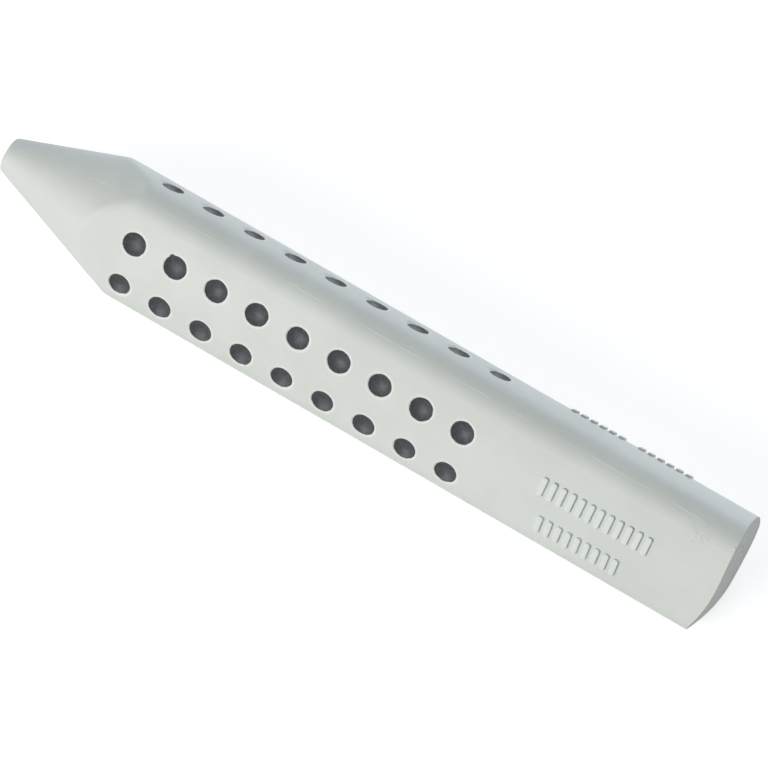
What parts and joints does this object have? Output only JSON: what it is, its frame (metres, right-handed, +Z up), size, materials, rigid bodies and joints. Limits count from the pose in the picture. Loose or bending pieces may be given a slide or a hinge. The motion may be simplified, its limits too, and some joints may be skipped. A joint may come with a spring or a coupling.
{
  "type": "stick eraser",
  "caption": "Three-sided stick eraser of soft rubber, with a blunt cone tip, crowned faces, rows of shallow painted dimples and a cut butt end.",
  "frame": {"origin": "on the ground, under the middle of the bar, which lies on one crowned face", "axes": "+X along the bar from the cone tip to the cut butt, +Z up, +Y to the back"},
  "size_m": [0.0903, 0.0146, 0.014],
  "materials": {
    "eraser_rubber": "soft matt light grey rubber, with dark grey paint in the dimples"
  },
  "bodies": {
    "root": {"eraser_bar": "eraser_rubber"}
  },
  "joints": []
}
